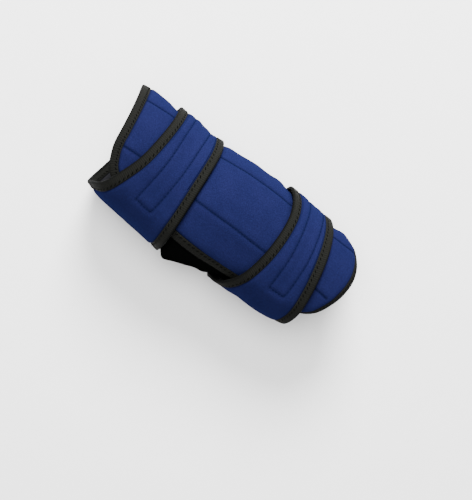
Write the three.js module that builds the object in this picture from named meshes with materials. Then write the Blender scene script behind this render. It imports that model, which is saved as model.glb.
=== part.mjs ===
// An elbow brace, closed and set down on its side: a padded front panel wraps the hollow,
// two tapered wing straps pass round the back of it and fasten over the panel, and a
// stretch gusset covers the elbow point between the straps. Tape binds every cut edge.
//
// The frame: +X runs from the upper end to the lower end, +Y towards the inside of the
// elbow, and +Z up. The brace rests on z = 0 and the origin is the centre of its footprint.
// Angles run round the hollow, in degrees: 0 is the top, 90 the inside of the elbow, 180
// underneath and -90 the elbow point. Stations run along it, as shares: -1 to 0 is the
// upper span, 0 the elbow, and 0 to 1 the lower span.
import * as THREE from "three";

// Driving sizes, in millimetres and degrees.
const upperSpan = 112;
const lowerSpan = 140;
const hollowRadius = 50;
const elbowBendAngle = 8;
const bendLength = 80;
const elbowPointRise = 5;
const elbowPointLength = 17;
const elbowPointSpreadAngle = 34;
const restCut = 3;
const restEasing = 2;

const panelThickness = 4.5;
const strapThickness = 4;
const gussetThickness = 1.5;
const hookThickness = 0.8;
const tapeWidth = 6.8;
const tapeThickness = 0.8;
const tapeRecess = 0.3;
const tapeBulge = 1.1;

// Clearances: inside the tape's fold, between two layers, and over and under the hook.
const seatGap = 0.3;
const layerGap = 0.7;
const hookGap = 0.5;

// How far a strap takes to climb onto the panel's edge, and the panel onto the gusset's.
const strapClimb = 32;
const strapLanding = 2;
const panelClimbStartAngle = 106;
const panelClimbEndAngle = 130;

// The panel's lower end rolls in towards the arm: the radius of its outer face, how far in
// from the edge the roll starts, and the stations between which it grows to its full turn.
const rollRadius = 9;
const rollLength = 12;
const rollStartStation = 0.68;
const rollFullStation = 0.82;

// The hollow's sections. at is a station; front, back and height are shares of
// hollowRadius, measured from the axis towards +Y, -Y and +Z.
const sections = [
  { at: -1.15, front: 0.85, back: 0.8, height: 0.8 },
  { at: -1, front: 0.915, back: 0.85, height: 0.83 },
  { at: -0.75, front: 0.915, back: 0.955, height: 0.86 },
  { at: -0.5, front: 0.885, back: 0.985, height: 0.86 },
  { at: -0.36, front: 0.893, back: 0.99, height: 0.868 },
  { at: -0.23, front: 0.948, back: 0.995, height: 0.883 },
  { at: 0, front: 1.05, back: 0.985, height: 0.91 },
  { at: 0.2, front: 1.05, back: 0.89, height: 0.89 },
  { at: 0.4, front: 0.965, back: 0.86, height: 0.84 },
  { at: 0.6, front: 0.875, back: 0.895, height: 0.8 },
  { at: 0.8, front: 0.862, back: 0.83, height: 0.77 },
  { at: 1, front: 0.82, back: 0.76, height: 0.72 },
  { at: 1.1, front: 0.77, back: 0.72, height: 0.69 },
];

// Outlines, as closed smooth loops. Each row is an angle and a station, and the four rows
// with corner: true part the loop into its upper, far, lower and near sides.
// The panel's far half mirrors the near half, so its table holds the near half alone.
const panelHalf = [
  { angle: 66, at: -1.035 },
  { angle: 43, at: -1.003 },
  { angle: 22, at: -0.968 },
  { angle: 4, at: -0.938 },
  { angle: -10, at: -0.915 },
  { angle: -21, at: -0.88 },
  { angle: -31, at: -0.83, corner: true },
  { angle: -38, at: -0.765 },
  { angle: -43, at: -0.67 },
  { angle: -44, at: -0.45 },
  { angle: -44, at: -0.2 },
  { angle: -45.5, at: 0 },
  { angle: -49.5, at: 0.14 },
  { angle: -53, at: 0.32 },
  { angle: -54, at: 0.5 },
  { angle: -53.5, at: 0.68 },
  { angle: -55, at: 0.815, corner: true },
  { angle: -45.5, at: 0.897 },
  { angle: -29.5, at: 0.956 },
  { angle: -9, at: 0.999 },
  { angle: 17.5, at: 1.021 },
  { angle: 39, at: 1.008 },
  { angle: 57, at: 0.975 },
  { angle: 74, at: 0.934 },
];

const upperStrapRows = [
  { angle: -203, at: -0.79, corner: true },
  { angle: -190, at: -0.84 },
  { angle: -160, at: -0.87 },
  { angle: -120, at: -0.89 },
  { angle: -90, at: -0.885 },
  { angle: -66, at: -0.845 },
  { angle: -45, at: -0.778 },
  { angle: -23, at: -0.724 },
  { angle: -3, at: -0.686 },
  { angle: 20, at: -0.676 },
  { angle: 45, at: -0.682 },
  { angle: 70, at: -0.7 },
  { angle: 100, at: -0.715 },
  { angle: 124, at: -0.715 },
  { angle: 134, at: -0.67, corner: true },
  { angle: 137, at: -0.58 },
  { angle: 137, at: -0.42 },
  { angle: 134, at: -0.33, corner: true },
  { angle: 124, at: -0.285 },
  { angle: 100, at: -0.275 },
  { angle: 75, at: -0.25 },
  { angle: 49, at: -0.216 },
  { angle: 30, at: -0.2 },
  { angle: 5, at: -0.18 },
  { angle: -20, at: -0.157 },
  { angle: -50, at: -0.14 },
  { angle: -90, at: -0.145 },
  { angle: -140, at: -0.14 },
  { angle: -190, at: -0.145 },
  { angle: -203, at: -0.21, corner: true },
  { angle: -206, at: -0.35 },
  { angle: -206, at: -0.65 },
];

const lowerStrapRows = [
  { angle: -203, at: 0.275, corner: true },
  { angle: -190, at: 0.225 },
  { angle: -140, at: 0.215 },
  { angle: -95, at: 0.222 },
  { angle: -77, at: 0.243 },
  { angle: -65, at: 0.27 },
  { angle: -57, at: 0.298 },
  { angle: -46, at: 0.338 },
  { angle: -30, at: 0.38 },
  { angle: -8, at: 0.413 },
  { angle: 18, at: 0.43 },
  { angle: 40, at: 0.425 },
  { angle: 60, at: 0.398 },
  { angle: 80, at: 0.362 },
  { angle: 100, at: 0.348 },
  { angle: 122, at: 0.35 },
  { angle: 133, at: 0.385, corner: true },
  { angle: 136, at: 0.45 },
  { angle: 136, at: 0.57 },
  { angle: 133, at: 0.635, corner: true },
  { angle: 122, at: 0.67 },
  { angle: 100, at: 0.675 },
  { angle: 80, at: 0.685 },
  { angle: 54, at: 0.72 },
  { angle: 30, at: 0.75 },
  { angle: 5, at: 0.775 },
  { angle: -25, at: 0.793 },
  { angle: -47, at: 0.79 },
  { angle: -65, at: 0.77 },
  { angle: -90, at: 0.745 },
  { angle: -140, at: 0.735 },
  { angle: -190, at: 0.72 },
  { angle: -203, at: 0.67, corner: true },
  { angle: -206, at: 0.57 },
  { angle: -206, at: 0.37 },
];

const gussetRows = [
  { angle: -141, at: -0.32, corner: true },
  { angle: -128, at: -0.36 },
  { angle: -90, at: -0.37 },
  { angle: -52, at: -0.36 },
  { angle: -39, at: -0.32, corner: true },
  { angle: -38, at: -0.2 },
  { angle: -38, at: 0.2 },
  { angle: -40, at: 0.34, corner: true },
  { angle: -52, at: 0.385 },
  { angle: -90, at: 0.4 },
  { angle: -128, at: 0.385 },
  { angle: -140, at: 0.34, corner: true },
  { angle: -142, at: 0.2 },
  { angle: -142, at: -0.2 },
];

const upperHookRows = [
  { angle: -36, at: -0.52, corner: true },
  { angle: -34, at: -0.527 },
  { angle: 5, at: -0.522 },
  { angle: 47, at: -0.56 },
  { angle: 90, at: -0.585 },
  { angle: 125, at: -0.6 },
  { angle: 127, at: -0.593, corner: true },
  { angle: 127, at: -0.4 },
  { angle: 127, at: -0.397, corner: true },
  { angle: 125, at: -0.39 },
  { angle: 90, at: -0.385 },
  { angle: 47, at: -0.37 },
  { angle: 5, at: -0.34 },
  { angle: -34, at: -0.345 },
  { angle: -36, at: -0.352, corner: true },
  { angle: -36, at: -0.5 },
];

const lowerHookRows = [
  { angle: -33, at: 0.545, corner: true },
  { angle: -31, at: 0.54 },
  { angle: 5, at: 0.545 },
  { angle: 44, at: 0.52 },
  { angle: 90, at: 0.48 },
  { angle: 124, at: 0.465 },
  { angle: 126, at: 0.47, corner: true },
  { angle: 126, at: 0.59 },
  { angle: 126, at: 0.595, corner: true },
  { angle: 124, at: 0.6 },
  { angle: 90, at: 0.615 },
  { angle: 44, at: 0.655 },
  { angle: 5, at: 0.68 },
  { angle: -31, at: 0.67 },
  { angle: -33, at: 0.664, corner: true },
  { angle: -33, at: 0.56 },
];

const degree = Math.PI / 180;
const clamp = THREE.MathUtils.clamp;
const smoothstep = THREE.MathUtils.smoothstep;
const lerp = THREE.MathUtils.lerp;

const alongOf = (at) => at * (at < 0 ? upperSpan : lowerSpan);
const stationOf = (along) => along / (along < 0 ? upperSpan : lowerSpan);

// A section's size at a distance along the hollow, by a cubic through the table.
function sectionSize(key, along) {
  const at = clamp(stationOf(along), sections[0].at, sections.at(-1).at);
  const last = sections.length - 2;
  const i = clamp(sections.findIndex((row) => row.at >= at) - 1, 0, last);
  const slope = (k) => (sections[k + 1][key] - sections[k][key]) / (sections[k + 1].at - sections[k].at);
  const span = (k) => sections[k + 1].at - sections[k].at;
  const tangent = (k) => {
    if (k === 0) return slope(0);
    if (k === last + 1) return slope(last);
    return (slope(k) * span(k - 1) + slope(k - 1) * span(k)) / (span(k) + span(k - 1));
  };
  const t = (at - sections[i].at) / span(i);
  const [a, b] = [sections[i][key], sections[i + 1][key]];
  const [ta, tb] = [tangent(i) * span(i), tangent(i + 1) * span(i)];
  const cubic = a + t * (ta + t * (3 * (b - a) - 2 * ta - tb + t * (2 * (a - b) + ta + tb)));
  return cubic * hollowRadius;
}

// The axis: two straight runs joined by an arc at the elbow.
const curvature = (elbowBendAngle * degree) / bendLength;
const headingAt = (along) => curvature * clamp(along, -bendLength / 2, bendLength / 2);
function axisPoint(along) {
  const onArc = clamp(along, -bendLength / 2, bendLength / 2);
  const heading = headingAt(along);
  const straight = along - onArc;
  return {
    x: Math.sin(curvature * onArc) / curvature + straight * Math.cos(heading),
    y: (1 - Math.cos(curvature * onArc)) / curvature + straight * Math.sin(heading),
  };
}

// The stack of layers under the hollow, where a strap's root lies on the panel.
const restStack = panelThickness + layerGap + strapThickness;

// A section's height with its underside eased into a flat that rests level.
function restedHeight(height, z) {
  const floor = height - restCut;
  const q = (z + floor) / restEasing;
  if (q >= 1) return z;
  if (q <= -1) return -floor;
  return -floor + (restEasing * (q + 1) ** 2) / 4;
}

function hollowPoint(along, angle) {
  const turn = angle * degree;
  const [sin, cos] = [Math.sin(turn), Math.cos(turn)];
  const height = sectionSize("height", along);
  const side = sin > 0 ? sectionSize("front", along) : sectionSize("back", along);
  const fromPoint = THREE.MathUtils.euclideanModulo(angle + 90 + 180, 360) - 180;
  const bump = elbowPointRise
    * Math.exp(-((along / elbowPointLength) ** 2) - (fromPoint / elbowPointSpreadAngle) ** 2);
  const across = side * sin - bump * Math.abs(sin);
  const axis = axisPoint(along);
  const heading = headingAt(along);
  return new THREE.Vector3(
    axis.x - Math.sin(heading) * across,
    axis.y + Math.cos(heading) * across,
    height - restCut + restStack + restedHeight(height, height * cos),
  );
}

// A point at a height over the hollow's wall, along the wall's outward normal.
function skinPoint(along, angle, height) {
  const [stepAlong, stepAngle] = [0.05, 0.05];
  const ahead = hollowPoint(along + stepAlong, angle).sub(hollowPoint(along - stepAlong, angle));
  const round = hollowPoint(along, angle + stepAngle).sub(hollowPoint(along, angle - stepAngle));
  const normal = ahead.cross(round).normalize();
  return hollowPoint(along, angle).addScaledVector(normal, height);
}

// Millimetres of wall in a degree of turn, which the inset of an outline is measured in.
const wallPerDegree = (along) =>
  ((sectionSize("front", along) + sectionSize("back", along) + 2 * sectionSize("height", along)) / 4)
  * degree;

// An outline: its rows as a smooth closed loop, parted at its corners and evenly sampled.
// Points are { angle, along }, with the inward direction of the flat cut at each.
function outlineOf(rows, columns, ranks) {
  const flat = rows.map(({ angle, at }) =>
    new THREE.Vector3(angle * degree * hollowRadius, alongOf(at), 0));
  const curve = new THREE.CatmullRomCurve3(flat, true, "centripetal");
  const corners = rows.flatMap((row, i) => (row.corner ? [i] : []));
  const counts = [columns, ranks, columns, ranks];
  const points = corners.flatMap((from, side) => {
    const to = side === 3 ? corners[0] + rows.length : corners[side + 1];
    return evenly(curve, from / rows.length, to / rows.length, counts[side]);
  });
  const loop = points.map((p) => ({ angle: p.x / hollowRadius / degree, along: p.y }));
  return { loop: withInward(loop), columns, ranks };
}

// A stretch of a curve at equal spacing, without its last point.
function evenly(curve, from, to, count) {
  const fine = 24 * count;
  const dense = Array.from({ length: fine + 1 }, (_, i) => curve.getPoint((from + ((to - from) * i) / fine) % 1));
  const reach = [0];
  for (let i = 1; i <= fine; i++) reach.push(reach[i - 1] + dense[i].distanceTo(dense[i - 1]));
  return Array.from({ length: count }, (_, k) => {
    const want = (reach[fine] * k) / count;
    const i = clamp(reach.findIndex((r) => r > want) - 1, 0, fine - 1);
    return dense[i].clone().lerp(dense[i + 1], (want - reach[i]) / (reach[i + 1] - reach[i]));
  });
}

function withInward(loop) {
  const n = loop.length;
  return loop.map((p, i) => {
    const [before, after] = [loop[(i + n - 1) % n], loop[(i + 1) % n]];
    const perDegree = wallPerDegree(p.along);
    const across = (after.angle - before.angle) * perDegree;
    const ahead = after.along - before.along;
    const length = Math.hypot(across, ahead);
    return { ...p, inAngle: -ahead / length / perDegree, inAlong: across / length };
  });
}

const inset = (p, depth) => ({
  angle: p.angle + p.inAngle * depth,
  along: p.along + p.inAlong * depth,
});

// A place near the edge of a sheet, from a point of its outline: how far in from the edge,
// and how high over the lower face. A layer may roll in there, its outer face on an arc.
function placeOn(layer, p, depth, height) {
  const bend = layer.rollOf(p) / rollRadius;
  const turn = Math.max(0, rollLength - depth) * bend;
  let [deep, rise] = [depth, height];
  if (turn > 0) {
    const reach = 1 / bend - layer.thickness + height;
    deep = rollLength - reach * Math.sin(turn);
    rise = layer.thickness - 1 / bend + reach * Math.cos(turn);
  }
  const q = inset(p, deep);
  return skinPoint(q.along, q.angle, layer.face(q) + rise);
}

// How far a point lies outside an outline, in millimetres along the wall; 0 inside.
function outsideBy(outline, { angle, along }) {
  const perDegree = wallPerDegree(along);
  const { loop } = outline;
  let nearest = Infinity;
  let inside = false;
  loop.forEach((a, i) => {
    const b = loop[(i + 1) % loop.length];
    const [ax, ay] = [(a.angle - angle) * perDegree, a.along - along];
    const [bx, by] = [(b.angle - angle) * perDegree, b.along - along];
    const [dx, dy] = [bx - ax, by - ay];
    const t = clamp(-(ax * dx + ay * dy) / (dx * dx + dy * dy), 0, 1);
    nearest = Math.min(nearest, Math.hypot(ax + t * dx, ay + t * dy));
    if (ay > 0 !== by > 0 && ax - (ay * dx) / dy > 0) inside = !inside;
  });
  return inside ? 0 : nearest;
}

// A grid of points that fills a loop of 2 * (columns + ranks) points, its sides blended.
function fillLoop(points, columns, ranks) {
  const upper = points.slice(0, columns + 1);
  const far = points.slice(columns, columns + ranks + 1);
  const lower = points.slice(columns + ranks, 2 * columns + ranks + 1).reverse();
  const near = [...points.slice(2 * columns + ranks), points[0]].reverse();
  const blend = (key, i, j) => {
    const [u, v] = [i / columns, j / ranks];
    const sides = lerp(upper[i][key], lower[i][key], v) + lerp(near[j][key], far[j][key], u);
    const corners = lerp(
      lerp(upper[0][key], upper[columns][key], u),
      lerp(lower[0][key], lower[columns][key], u),
      v,
    );
    return sides - corners;
  };
  return Array.from({ length: ranks + 1 }, (_, j) =>
    Array.from({ length: columns + 1 }, (_, i) => {
      if (j === 0) return upper[i];
      if (j === ranks) return lower[i];
      if (i === 0) return near[j];
      if (i === columns) return far[j];
      return { angle: blend("angle", i, j), along: blend("along", i, j) };
    }));
}

// Collects corners of triangles, and makes a geometry of them.
class Facets {
  positions = [];
  triangle(a, b, c) {
    [a, b, c].forEach((p) => this.positions.push(p.x, p.y, p.z));
  }
  quad(a, b, c, d) {
    this.triangle(a, b, c);
    this.triangle(a, c, d);
  }
  geometry() {
    const made = new THREE.BufferGeometry();
    made.setAttribute("position", new THREE.Float32BufferAttribute(this.positions, 3));
    made.computeVertexNormals();
    return made;
  }
}

// A sheet of cloth or foam: rings follow its outline inwards, and a grid fills the rest.
// Each ring has a depth from the edge and what is pared off each face there, so that the
// tape's legs lie in a step along the edge.
function sheetGeometry(layer, rings) {
  const facets = new Facets();
  const { loop, columns, ranks } = layer.outline;
  const heightOf = (pare, isTop) => (isTop ? layer.thickness - pare : pare);
  const n = loop.length;
  const faces = [true, false].map((isTop) =>
    rings.map(({ depth, pare }) =>
      loop.map((p) => placeOn(layer, p, depth, heightOf(pare, isTop)))));
  const [tops, bottoms] = faces;
  for (let i = 0; i < n; i++) {
    const k = (i + 1) % n;
    facets.quad(tops[0][k], bottoms[0][k], bottoms[0][i], tops[0][i]);
    for (let r = 0; r + 1 < rings.length; r++) {
      facets.quad(tops[r][k], tops[r][i], tops[r + 1][i], tops[r + 1][k]);
      facets.quad(bottoms[r][i], bottoms[r][k], bottoms[r + 1][k], bottoms[r + 1][i]);
    }
  }
  const { depth, pare } = rings.at(-1);
  const grid = fillLoop(loop.map((p) => inset(p, depth)), columns, ranks);
  const [top, bottom] = [true, false].map((isTop) =>
    grid.map((rank) => rank.map((p) =>
      skinPoint(p.along, p.angle, layer.face(p) + heightOf(pare, isTop)))));
  for (let j = 0; j < ranks; j++) {
    for (let i = 0; i < columns; i++) {
      facets.quad(top[j][i + 1], top[j][i], top[j + 1][i], top[j + 1][i + 1]);
      facets.quad(bottom[j][i], bottom[j][i + 1], bottom[j + 1][i + 1], bottom[j + 1][i]);
    }
  }
  return facets.geometry();
}

const plainEdge = [{ depth: 0, pare: 0 }];
const tapeStep = tapeRecess + tapeThickness + seatGap;
const boundEdge = [
  { depth: 0, pare: tapeStep },
  { depth: tapeWidth + seatGap, pare: tapeStep },
  { depth: tapeWidth + seatGap + tapeStep, pare: 0 },
];
const rolledEdge = [...boundEdge, { depth: rollLength, pare: 0 }];

// Binding tape folded over a sheet's edge: a U section carried round the outline.
function bindingGeometry(layer) {
  const facets = new Facets();
  const [low, high] = [tapeRecess, layer.thickness - tapeRecess];
  const fold = -tapeBulge - seatGap;
  const section = [
    { depth: tapeWidth, height: high },
    { depth: 0, height: high },
    { depth: fold, height: high - tapeThickness },
    { depth: fold, height: low + tapeThickness },
    { depth: 0, height: low },
    { depth: tapeWidth, height: low },
    { depth: tapeWidth, height: low + tapeThickness },
    { depth: -seatGap, height: low + tapeThickness },
    { depth: -seatGap, height: high - tapeThickness },
    { depth: tapeWidth, height: high - tapeThickness },
  ];
  const hoops = layer.outline.loop.map((p) =>
    section.map(({ depth, height }) => placeOn(layer, p, depth, height)));
  hoops.forEach((hoop, i) => {
    const next = hoops[(i + 1) % hoops.length];
    hoop.forEach((_, j) => {
      const k = (j + 1) % hoop.length;
      facets.quad(hoop[k], hoop[j], next[j], next[k]);
    });
  });
  return facets.geometry();
}

// Outlines of the pieces.
const mirrored = (rows) =>
  [...rows].reverse().map((row) => ({ ...row, angle: 180 - row.angle }));
const panelUpperMiddle = { angle: 90, at: -1.05 };
const panelLowerMiddle = { angle: 90, at: 0.882 };
const panelRows = [panelLowerMiddle, ...[...panelHalf].reverse(), panelUpperMiddle, ...mirrored([...panelHalf].reverse())];

// The loop has to start at its near upper corner and run towards the far side.
function fromCorner(rows, index) {
  return [...rows.slice(index), ...rows.slice(0, index)];
}
const nearUpperCorner = panelRows.findIndex((row) => row.corner && row.at < 0);

const columnStep = 9;
const panelOutline = outlineOf(fromCorner(panelRows, nearUpperCorner), 28, 13);
const upperStrapOutline = outlineOf(upperStrapRows, Math.round(337 / columnStep), 5);
const lowerStrapOutline = outlineOf(lowerStrapRows, Math.round(336 / columnStep), 5);
const gussetOutline = outlineOf(gussetRows, 12, 11);
const upperHookOutline = outlineOf(upperHookRows, 20, 2);
const lowerHookOutline = outlineOf(lowerHookRows, 20, 2);

// Heights of the lower faces over the hollow's wall.
const gussetFace = () => 0;
const gussetSeat = gussetThickness + layerGap;
const panelFace = ({ angle }) =>
  gussetSeat * smoothstep(Math.abs(angle - 90), panelClimbStartAngle, panelClimbEndAngle);
const hookFace = (p) => panelFace(p) + panelThickness + hookGap;
function strapFace(p) {
  const isRoot = p.angle < -90;
  const turned = isRoot ? { ...p, angle: p.angle + 360 } : p;
  const overPanel = isRoot ? layerGap : hookThickness + 2 * hookGap;
  const onPanel = panelFace(turned) + panelThickness + overPanel;
  const cover = 1 - smoothstep(outsideBy(panelOutline, turned), strapLanding, strapClimb);
  return lerp(gussetSeat, onPanel, cover);
}

// The layers: what each sheet's outline is, where it lies, and how far its edge rolls in.
const flatLaid = () => 0;
const panelRoll = ({ along }) => smoothstep(stationOf(along), rollStartStation, rollFullStation);
const layer = (outline, face, thickness, rollOf = flatLaid) => ({ outline, face, thickness, rollOf });
const panel = layer(panelOutline, panelFace, panelThickness, panelRoll);
const gusset = layer(gussetOutline, gussetFace, gussetThickness);
const upperStrap = layer(upperStrapOutline, strapFace, strapThickness);
const lowerStrap = layer(lowerStrapOutline, strapFace, strapThickness);
const upperHook = layer(upperHookOutline, hookFace, hookThickness);
const lowerHook = layer(lowerHookOutline, hookFace, hookThickness);

const blueLoop = new THREE.MeshStandardMaterial({ color: 0x1f3a86, roughness: 0.9, metalness: 0 });
const blackTape = new THREE.MeshStandardMaterial({ color: 0x23231d, roughness: 0.85, metalness: 0 });
const blackStretch = new THREE.MeshStandardMaterial({ color: 0x0d0d10, roughness: 0.8, metalness: 0 });
const hookTape = new THREE.MeshStandardMaterial({ color: 0x16161a, roughness: 0.7, metalness: 0 });

function named(name, geometry, material) {
  const mesh = new THREE.Mesh(geometry, material);
  mesh.name = name;
  return mesh;
}

const brace = new THREE.Group();
brace.add(
  named("front_panel", sheetGeometry(panel, rolledEdge), blueLoop),
  named("front_panel_binding", bindingGeometry(panel), blackTape),
  named("elbow_gusset", sheetGeometry(gusset, plainEdge), blackStretch),
  named("upper_strap", sheetGeometry(upperStrap, boundEdge), blueLoop),
  named("upper_strap_binding", bindingGeometry(upperStrap), blackTape),
  named("upper_hook_patch", sheetGeometry(upperHook, plainEdge), hookTape),
  named("lower_strap", sheetGeometry(lowerStrap, boundEdge), blueLoop),
  named("lower_strap_binding", bindingGeometry(lowerStrap), blackTape),
  named("lower_hook_patch", sheetGeometry(lowerHook, plainEdge), hookTape),
);

// The origin goes to the centre of the footprint, on the resting plane.
const extent = new THREE.Box3().setFromObject(brace);
const centre = extent.getCenter(new THREE.Vector3());
brace.children.forEach((mesh) => mesh.geometry.translate(-centre.x, -centre.y, 0));

export default brace;
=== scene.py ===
# %% [markdown]
# An elbow brace, closed and lying on its side, as it keeps its form when it is taken off.
# It is soft goods: three padded pieces of blue loop cloth bonded to foam, a thin stretch
# piece behind the elbow point, and woven tape folded over every cut edge.
# The plain solids of the construction give every piece its place. Here each one is made
# again as fine cloth, with its seams, puffing and stitches. The sizes are those of the
# solids, but for a slacker roll at the lower end.

# %% Load the construction and keep its box
import math

import bpy
import numpy as np
from mathutils import Matrix, Vector


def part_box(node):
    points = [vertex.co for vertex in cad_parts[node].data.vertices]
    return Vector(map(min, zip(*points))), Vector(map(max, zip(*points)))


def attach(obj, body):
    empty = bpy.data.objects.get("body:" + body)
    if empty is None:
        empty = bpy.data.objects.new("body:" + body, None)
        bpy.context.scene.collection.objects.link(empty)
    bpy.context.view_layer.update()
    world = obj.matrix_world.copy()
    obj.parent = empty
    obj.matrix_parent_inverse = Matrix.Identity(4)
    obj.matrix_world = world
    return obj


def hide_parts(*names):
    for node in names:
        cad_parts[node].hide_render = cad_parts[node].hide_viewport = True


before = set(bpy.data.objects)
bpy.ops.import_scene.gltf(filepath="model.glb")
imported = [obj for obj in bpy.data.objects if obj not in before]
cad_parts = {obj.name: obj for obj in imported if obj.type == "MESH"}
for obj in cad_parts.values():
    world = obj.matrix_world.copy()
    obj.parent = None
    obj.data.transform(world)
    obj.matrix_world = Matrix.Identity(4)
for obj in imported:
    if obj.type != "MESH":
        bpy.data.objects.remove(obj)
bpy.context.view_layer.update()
print("construction nodes:", ", ".join(sorted(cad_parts)))

# %% [markdown]
# A worn brace is a squashed tube, thick at the elbow and thinner towards both ends. A
# cylinder could be pulled into that form freely, but then no other piece could follow
# it. Here a small table gives the hollow's size in a few sections, and a cubic between
# them gives it everywhere, so that every later piece can ask for it.

# %% The sections of the hollow, in millimetres
UPPER_SPAN = 112.0
LOWER_SPAN = 140.0
HOLLOW_RADIUS = 50.0
# Places are shares of the span on that side of the elbow, sizes shares of the radius.
SECTIONS = {
    "at": [-1.15, -1.0, -0.75, -0.5, -0.36, -0.23, 0.0, 0.2, 0.4, 0.6, 0.8, 1.0, 1.1],
    "front": [0.85, 0.915, 0.915, 0.885, 0.893, 0.948, 1.05, 1.05, 0.965, 0.875, 0.862, 0.82, 0.77],
    "back": [0.8, 0.85, 0.955, 0.985, 0.99, 0.995, 0.985, 0.89, 0.86, 0.895, 0.83, 0.76, 0.72],
    "height": [0.8, 0.83, 0.86, 0.86, 0.868, 0.883, 0.91, 0.89, 0.84, 0.8, 0.77, 0.72, 0.69],
}


def along_of(at):
    """Millimetres along the axis of a share of the spans."""
    at = np.asarray(at, float)
    return at * np.where(at < 0, UPPER_SPAN, LOWER_SPAN)


def section_size(key, along):
    """A section's size at a distance along the hollow, by a cubic through the table."""
    xs = np.array(SECTIONS["at"])
    ys = np.array(SECTIONS[key])
    at = np.clip(along / np.where(along < 0, UPPER_SPAN, LOWER_SPAN), xs[0], xs[-1])
    span = np.diff(xs)
    slope = np.diff(ys) / span
    tangent = np.empty_like(ys)
    tangent[0], tangent[-1] = slope[0], slope[-1]
    tangent[1:-1] = (slope[1:] * span[:-1] + slope[:-1] * span[1:]) / (span[1:] + span[:-1])
    i = np.clip(np.searchsorted(xs, at) - 1, 0, len(xs) - 2)
    t = (at - xs[i]) / span[i]
    a, b = ys[i], ys[i + 1]
    ta, tb = tangent[i] * span[i], tangent[i + 1] * span[i]
    cubic = a + t * (ta + t * (3 * (b - a) - 2 * ta - tb + t * (2 * (a - b) + ta + tb)))
    return cubic * HOLLOW_RADIUS


print("length along the axis:", UPPER_SPAN + LOWER_SPAN, "mm")

# %% [markdown]
# The brace is bent, bulges at the elbow point and is flat where it rests, so no primitive
# fits it. Everything lies on one curved wall round the hollow instead, and a point of a
# piece is an angle round it, a distance along it and a height over it. Angle 0 is the
# top, 90 the inside of the elbow, 180 the underside and -90 the elbow point. With the
# wall written once, each layer is only an outline and a height, and no layer can drift
# away from the others.

# %% The wall of the hollow
ELBOW_BEND = math.radians(8.0)
BEND_LENGTH = 80.0
# The elbow point rises from the wall, and fades out along it and, in degrees, round it.
ELBOW_POINT_RISE = 5.0
ELBOW_POINT_LENGTH = 17.0
ELBOW_POINT_SPREAD = 34.0
# Where the brace rests its wall is cut flat, with a soft rim.
REST_CUT = 3.0
REST_EASING = 2.0
# The panel and a strap lie between the hollow and the ground, with a gap between them.
PANEL = 4.5
STRAP = 4.0
LAYER_GAP = 0.7
REST_STACK = PANEL + LAYER_GAP + STRAP
# The wall's slope is measured over this small step, in millimetres or degrees.
SLOPE_STEP = 0.05


def bell(x, width):
    """1 at the middle, and fading to 0 on both sides."""
    return np.exp(-((x / width) ** 2))


def wall_point(angle, along):
    """A point of the wall: a squashed ring about a bent axis, flattened where it rests."""
    curvature = ELBOW_BEND / BEND_LENGTH
    on_arc = np.clip(along, -BEND_LENGTH / 2, BEND_LENGTH / 2)
    heading = curvature * on_arc
    axis_x = np.sin(heading) / curvature + (along - on_arc) * np.cos(heading)
    axis_y = (1 - np.cos(heading)) / curvature + (along - on_arc) * np.sin(heading)
    turn = np.radians(angle)
    height = section_size("height", along)
    side = np.where(np.sin(turn) > 0, section_size("front", along), section_size("back", along))
    from_point = np.mod(angle + 270, 360) - 180
    bump = bell(along, ELBOW_POINT_LENGTH) * bell(from_point, ELBOW_POINT_SPREAD)
    across = side * np.sin(turn) - ELBOW_POINT_RISE * bump * np.abs(np.sin(turn))
    floor = height - REST_CUT
    z = height * np.cos(turn)
    over_floor = (z + floor) / REST_EASING
    eased = -floor + REST_EASING * (np.clip(over_floor, -1, 1) + 1) ** 2 / 4
    z = np.where(over_floor >= 1, z, eased)
    x = axis_x - np.sin(heading) * across
    y = axis_y + np.cos(heading) * across
    return np.stack([x, y, floor + REST_STACK + z], -1)


def wall_normal(angle, along):
    """The way out of the wall, square to its slopes along it and round it."""
    ahead = wall_point(angle, along + SLOPE_STEP) - wall_point(angle, along - SLOPE_STEP)
    round_it = wall_point(angle + SLOPE_STEP, along) - wall_point(angle - SLOPE_STEP, along)
    normal = np.cross(ahead, round_it)
    return normal / np.linalg.norm(normal, axis=-1, keepdims=True)


def over_wall(points, height):
    """Points in the flat cut, lifted to a height over the wall."""
    angle, along = points[..., 0], points[..., 1]
    return wall_point(angle, along) + wall_normal(angle, along) * np.asarray(height)[..., None]


ring = wall_point(np.arange(0.0, 360.0, 1.0), np.zeros(360))
print("hollow at the elbow:", np.ptp(ring, axis=0).round(1)[1:], "mm across and high")

# %% [markdown]
# Each piece starts as a flat cut, as it would on a cutting table: a closed outline with
# rounded corners. A few points per side and a smooth curve through them give the same
# soft outline that a paper pattern has, where straight edges would look machine made.
# Four marked points part each outline into sides, so that a grid can fill it.

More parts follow.
